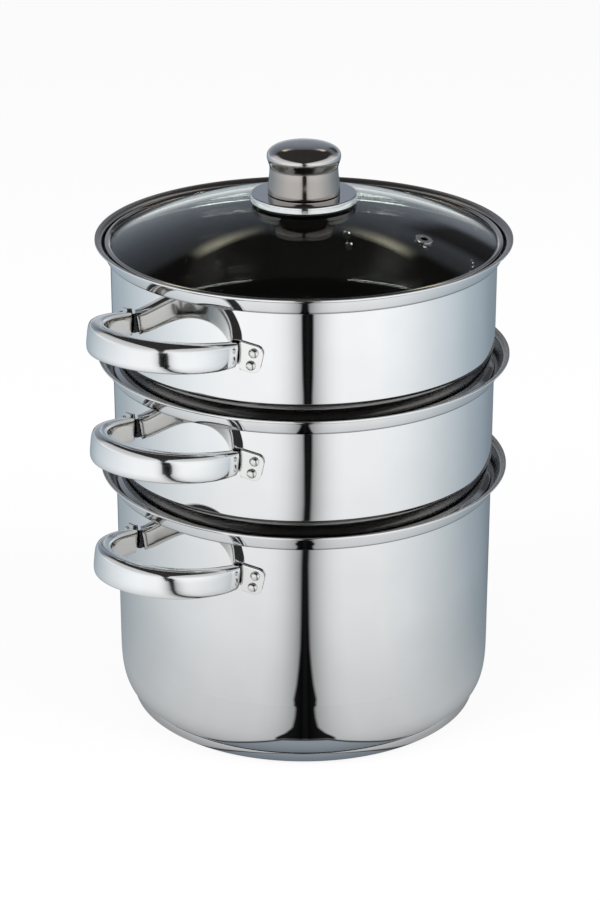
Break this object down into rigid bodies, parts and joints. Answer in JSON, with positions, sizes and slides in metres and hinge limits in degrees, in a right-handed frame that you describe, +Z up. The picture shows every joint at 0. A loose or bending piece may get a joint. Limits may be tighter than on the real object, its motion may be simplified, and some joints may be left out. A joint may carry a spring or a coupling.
{
  "type": "three-tier steamer pot",
  "caption": "Tall polished steel stock pot with stacked steamer inserts, riveted loop handles and a domed glass lid with a steel knob.",
  "frame": {"origin": "centre of the underside of the base, on the surface that the pot stands on", "axes": "+Z up along the axis of the pot, inserts and lid; the two loop handles of each tier lie on the X axis"},
  "size_m": [0.2926, 0.2156, 0.3064],
  "materials": {
    "mirror_steel": "mirror-polished stainless steel",
    "handle_steel": "polished stainless steel tube",
    "bracket_steel": "polished stainless steel plate, less even than the walls",
    "rivet_steel": "dull steel rivet heads",
    "base_steel": "stainless steel capsule, satin",
    "core_aluminium": "plain aluminium disc",
    "lid_glass": "clear toughened glass",
    "black_silicone": "matt black silicone",
    "black_plastic": "black moulded plastic",
    "screw_steel": "plain steel fastener"
  },
  "bodies": {
    "pot": {"pot_body": "mirror_steel", "base_capsule": "base_steel", "base_core": "core_aluminium", "pot_left_handle_loop": "handle_steel", "pot_left_bracket_front": "bracket_steel", "pot_left_rivet_front_lower": "rivet_steel", "pot_left_rivet_front_upper": "rivet_steel", "pot_left_bracket_back": "bracket_steel", "pot_left_rivet_back_lower": "rivet_steel", "pot_left_rivet_back_upper": "rivet_steel", "pot_right_handle_loop": "handle_steel", "pot_right_bracket_front": "bracket_steel", "pot_right_rivet_front_lower": "rivet_steel", "pot_right_rivet_front_upper": "rivet_steel", "pot_right_bracket_back": "bracket_steel", "pot_right_rivet_back_lower": "rivet_steel", "pot_right_rivet_back_upper": "rivet_steel"},
    "lower_steamer": {"lower_steamer_body": "mirror_steel", "lower_steamer_left_handle_loop": "handle_steel", "lower_steamer_left_bracket_front": "bracket_steel", "lower_steamer_left_rivet_front_lower": "rivet_steel", "lower_steamer_left_rivet_front_upper": "rivet_steel", "lower_steamer_left_bracket_back": "bracket_steel", "lower_steamer_left_rivet_back_lower": "rivet_steel", "lower_steamer_left_rivet_back_upper": "rivet_steel", "lower_steamer_right_handle_loop": "handle_steel", "lower_steamer_right_bracket_front": "bracket_steel", "lower_steamer_right_rivet_front_lower": "rivet_steel", "lower_steamer_right_rivet_front_upper": "rivet_steel", "lower_steamer_right_bracket_back": "bracket_steel", "lower_steamer_right_rivet_back_lower": "rivet_steel", "lower_steamer_right_rivet_back_upper": "rivet_steel"},
    "upper_steamer": {"upper_steamer_body": "mirror_steel", "upper_steamer_left_handle_loop": "handle_steel", "upper_steamer_left_bracket_front": "bracket_steel", "upper_steamer_left_rivet_front_lower": "rivet_steel", "upper_steamer_left_rivet_front_upper": "rivet_steel", "upper_steamer_left_bracket_back": "bracket_steel", "upper_steamer_left_rivet_back_lower": "rivet_steel", "upper_steamer_left_rivet_back_upper": "rivet_steel", "upper_steamer_right_handle_loop": "handle_steel", "upper_steamer_right_bracket_front": "bracket_steel", "upper_steamer_right_rivet_front_lower": "rivet_steel", "upper_steamer_right_rivet_front_upper": "rivet_steel", "upper_steamer_right_bracket_back": "bracket_steel", "upper_steamer_right_rivet_back_lower": "rivet_steel", "upper_steamer_right_rivet_back_upper": "rivet_steel"},
    "lid": {"lid_glass": "lid_glass", "lid_rim_band": "mirror_steel", "vent_eyelet": "mirror_steel", "knob_gasket": "black_silicone", "knob_flange": "mirror_steel", "knob_shell": "mirror_steel", "knob_core": "black_plastic", "knob_screw": "screw_steel", "screw_washer": "screw_steel", "screw_seal": "black_silicone"}
  },
  "joints": [
    {"name": "lower_steamer_lift", "type": "slide", "parent": "pot", "child": "lower_steamer", "axis": [0, 0, 1], "range_m": [0, 0.12]},
    {"name": "upper_steamer_lift", "type": "slide", "parent": "lower_steamer", "child": "upper_steamer", "axis": [0, 0, 1], "range_m": [0, 0.12]},
    {"name": "lid_lift", "type": "slide", "parent": "upper_steamer", "child": "lid", "axis": [0, 0, 1], "range_m": [0, 0.1]}
  ]
}
